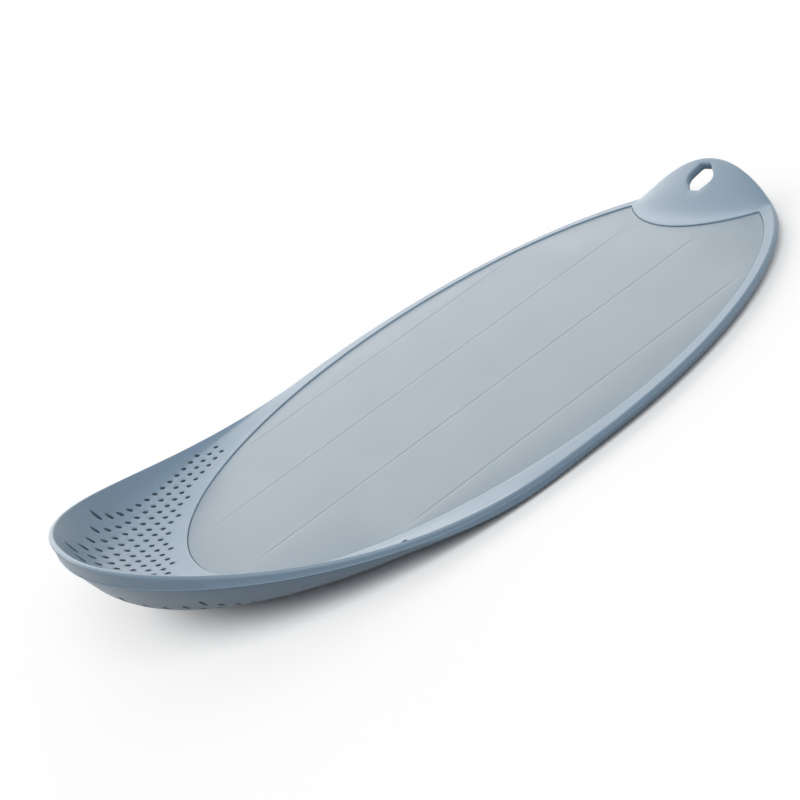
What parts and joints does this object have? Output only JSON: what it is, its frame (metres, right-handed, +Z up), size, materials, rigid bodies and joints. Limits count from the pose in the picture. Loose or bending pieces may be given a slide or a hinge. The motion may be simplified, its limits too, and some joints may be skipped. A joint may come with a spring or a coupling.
{
  "type": "colander chopping board",
  "caption": "Oval plastic chopping board with a recessed, grooved cutting deck, an upturned perforated colander end for rinsing and draining, and a raised handle with a hanging hole.",
  "frame": {"origin": "on the table plane, under the middle of the board's length and width", "axes": "+X from the colander end to the handle, +Z up out of the level cutting deck"},
  "size_m": [0.3538, 0.27, 0.0485],
  "materials": {
    "shell": "satin moulded polypropylene, blue-grey",
    "deck": "fine matt moulded polypropylene, blue-grey",
    "foot": "matt soft rubber, dark blue-grey"
  },
  "bodies": {
    "root": {"board_shell": "shell", "cutting_deck": "deck", "foot_front_left": "foot", "foot_front_right": "foot", "foot_rear_left": "foot", "foot_rear_right": "foot"}
  },
  "joints": []
}
